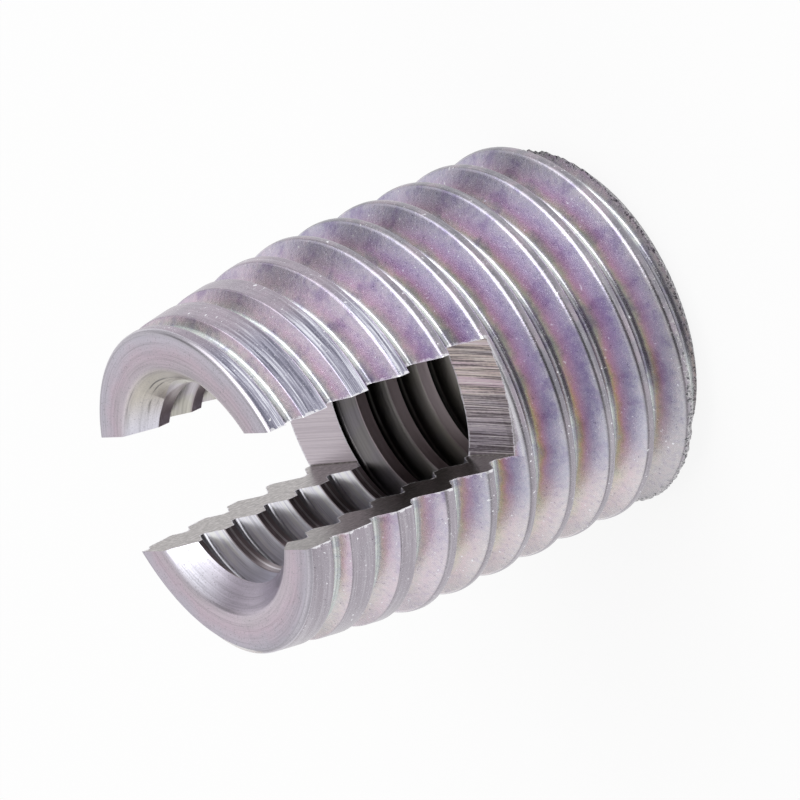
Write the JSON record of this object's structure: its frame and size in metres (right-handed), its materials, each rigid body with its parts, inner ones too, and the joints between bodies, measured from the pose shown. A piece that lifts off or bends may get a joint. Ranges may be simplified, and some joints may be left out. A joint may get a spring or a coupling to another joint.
{
  "type": "self-cutting threaded insert",
  "caption": "Slotted self-cutting sleeve that screws into a drilled hole and leaves a machine-screw thread inside it.",
  "frame": {"origin": "centre of the flat back end", "axes": "+Z along the axis from the flat back end to the slotted nose; the slot runs along X"},
  "size_m": [0.0078, 0.0078, 0.0099],
  "materials": {
    "zinc_plated_steel": "zinc plated, iridescent lilac with olive and pink bands in the thread roots"
  },
  "bodies": {
    "root": {"insert_body": "zinc_plated_steel"}
  },
  "joints": []
}
